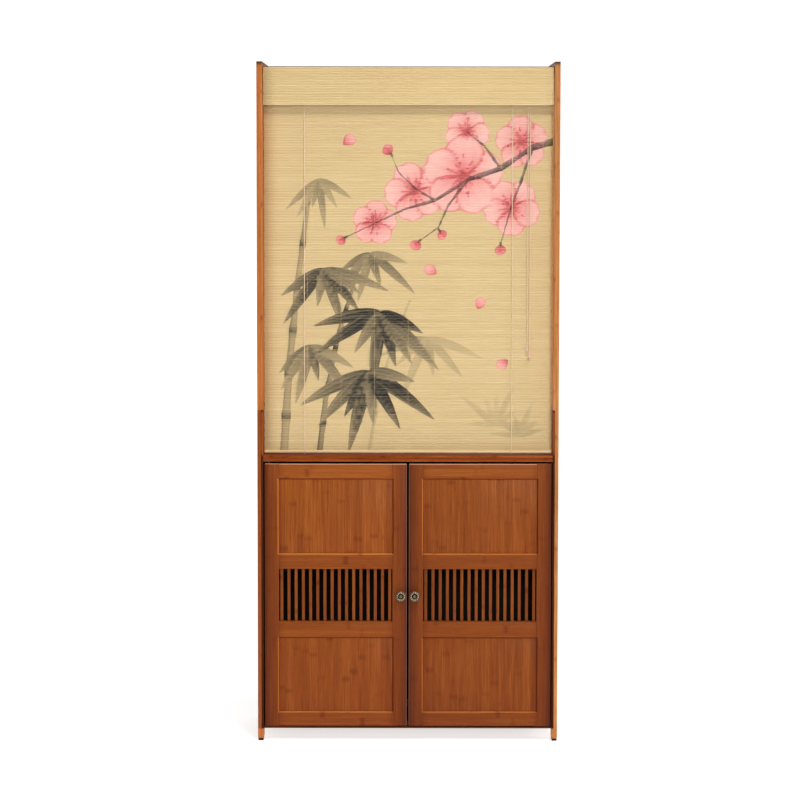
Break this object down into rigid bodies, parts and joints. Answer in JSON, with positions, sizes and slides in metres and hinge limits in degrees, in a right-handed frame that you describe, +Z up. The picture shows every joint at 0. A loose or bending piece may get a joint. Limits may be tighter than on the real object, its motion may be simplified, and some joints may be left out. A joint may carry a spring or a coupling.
{
  "type": "bamboo blind hung on a bamboo cabinet rack",
  "caption": "Slatted bamboo roll-up blind with a valance and cords, hung between the front posts of a tall bamboo rack with a double-door cabinet.",
  "frame": {"origin": "on the floor, under the middle of the box round the rack and its blind", "axes": "+X to the right seen from the front, +Y from the doors to the back, +Z up"},
  "size_m": [0.7, 0.32, 1.581],
  "materials": {
    "honey_bamboo": "satin lacquer over strip bamboo",
    "dark_bamboo": "satin lacquer over stained strip bamboo",
    "slat_bamboo": "matt, woven fine slats with a printed plum branch and ink-grey bamboo",
    "pale_batten": "matt",
    "cream_cord": "twisted cord",
    "blush_bell": "satin",
    "aged_bronze": "antique, rubbed bright on the raised rings",
    "steel_pin": "plain",
    "black_pad": "matt"
  },
  "bodies": {
    "rack": {"blind_sheet": "slat_bamboo", "blind_valance": "slat_bamboo", "blind_headrail": "pale_batten", "blind_bottom_bar": "pale_batten", "lift_cord_left": "cream_cord", "lift_cord_right": "cream_cord", "pull_cord_inner": "cream_cord", "pull_cord_outer": "cream_cord", "pull_bell_inner": "blush_bell", "pull_bell_outer": "blush_bell", "post_front_left": "honey_bamboo", "post_front_right": "honey_bamboo", "post_rear_left": "honey_bamboo", "post_rear_right": "honey_bamboo", "foot_pad_front_left": "black_pad", "foot_pad_front_right": "black_pad", "foot_pad_rear_left": "black_pad", "foot_pad_rear_right": "black_pad", "side_rail_left": "honey_bamboo", "side_rail_right": "honey_bamboo", "side_panel_left": "dark_bamboo", "side_panel_right": "dark_bamboo", "top_board": "honey_bamboo", "cabinet_top": "dark_bamboo", "cabinet_floor": "dark_bamboo", "back_panel": "dark_bamboo"},
    "door_left": {"door_left_outer_stile": "dark_bamboo", "door_left_inner_stile": "dark_bamboo", "door_left_top_rail": "dark_bamboo", "door_left_upper_panel": "dark_bamboo", "door_left_upper_rail": "dark_bamboo", "door_left_grille": "dark_bamboo", "door_left_lower_rail": "dark_bamboo", "door_left_lower_panel": "dark_bamboo", "door_left_bottom_rail": "dark_bamboo", "door_left_knob": "aged_bronze", "door_left_top_pin": "steel_pin", "door_left_bottom_pin": "steel_pin"},
    "door_right": {"door_right_outer_stile": "dark_bamboo", "door_right_inner_stile": "dark_bamboo", "door_right_top_rail": "dark_bamboo", "door_right_upper_panel": "dark_bamboo", "door_right_upper_rail": "dark_bamboo", "door_right_grille": "dark_bamboo", "door_right_lower_rail": "dark_bamboo", "door_right_lower_panel": "dark_bamboo", "door_right_bottom_rail": "dark_bamboo", "door_right_knob": "aged_bronze", "door_right_top_pin": "steel_pin", "door_right_bottom_pin": "steel_pin"}
  },
  "joints": [
    {"name": "door_left_swing", "type": "hinge", "parent": "rack", "child": "door_left", "pos_m": [-0.328, -0.132, 0.3425], "axis": [0, 0, -1], "range_deg": [0, 105]},
    {"name": "door_right_swing", "type": "hinge", "parent": "rack", "child": "door_right", "pos_m": [0.328, -0.132, 0.3425], "axis": [0, 0, 1], "range_deg": [0, 105]}
  ]
}
